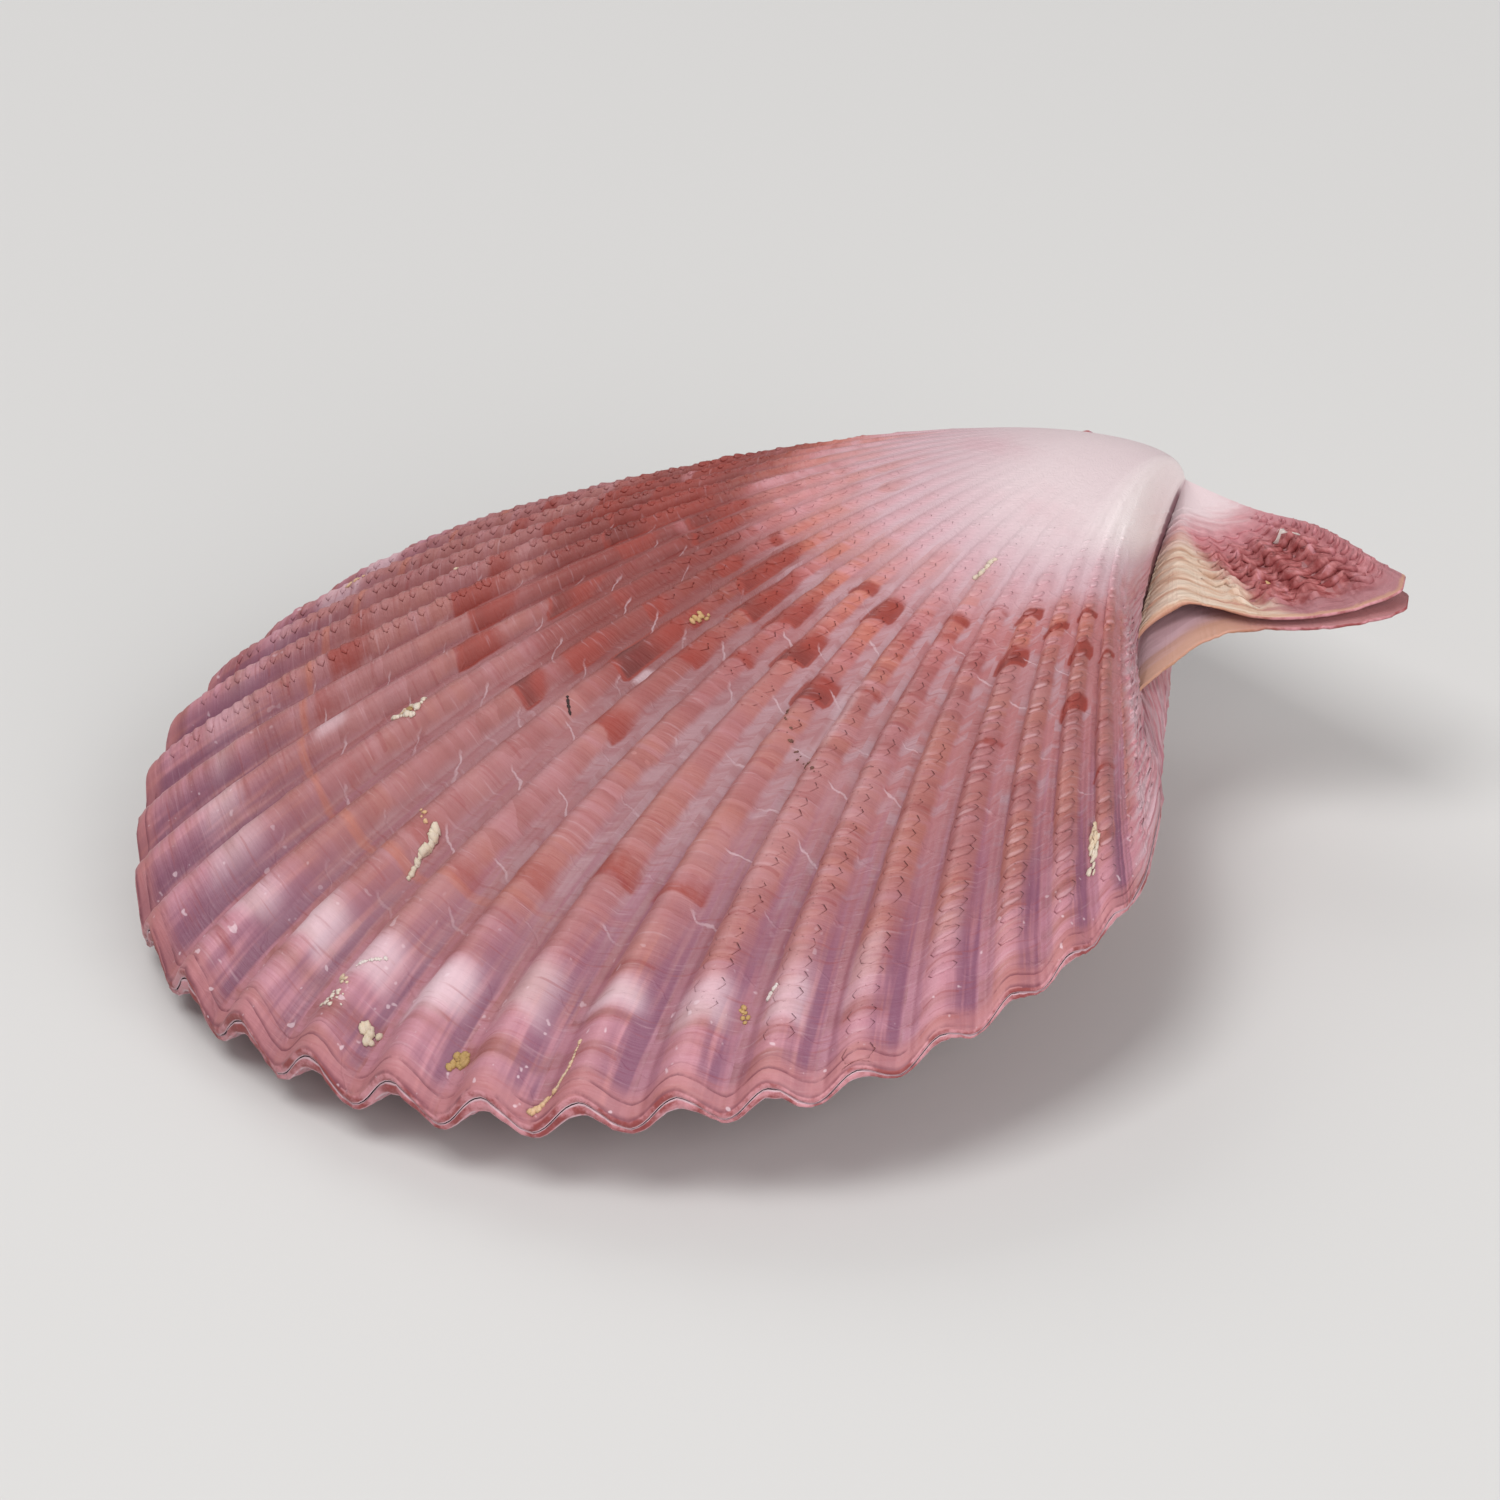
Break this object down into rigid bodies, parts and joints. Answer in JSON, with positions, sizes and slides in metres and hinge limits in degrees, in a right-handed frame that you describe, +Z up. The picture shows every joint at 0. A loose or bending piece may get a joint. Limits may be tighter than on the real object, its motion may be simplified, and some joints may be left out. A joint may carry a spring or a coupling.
{
  "type": "scallop shell",
  "caption": "Ribbed scallop shell with both valves closed, a long near ear with a byssal notch, lying on its lower valve.",
  "frame": {"origin": "middle of the underside of the shell's box, on the surface that it lies on", "axes": "+Z up, +X towards the near ear with the byssal notch, -Y towards the fan's margin"},
  "size_m": [0.075, 0.0802, 0.0247],
  "materials": {
    "upper_valve": "satin, red-brown blotches on dusty pink ribs",
    "lower_valve": "satin, pale mauve-pink ribs"
  },
  "bodies": {
    "root": {"upper_valve": "upper_valve", "lower_valve": "lower_valve"}
  },
  "joints": []
}
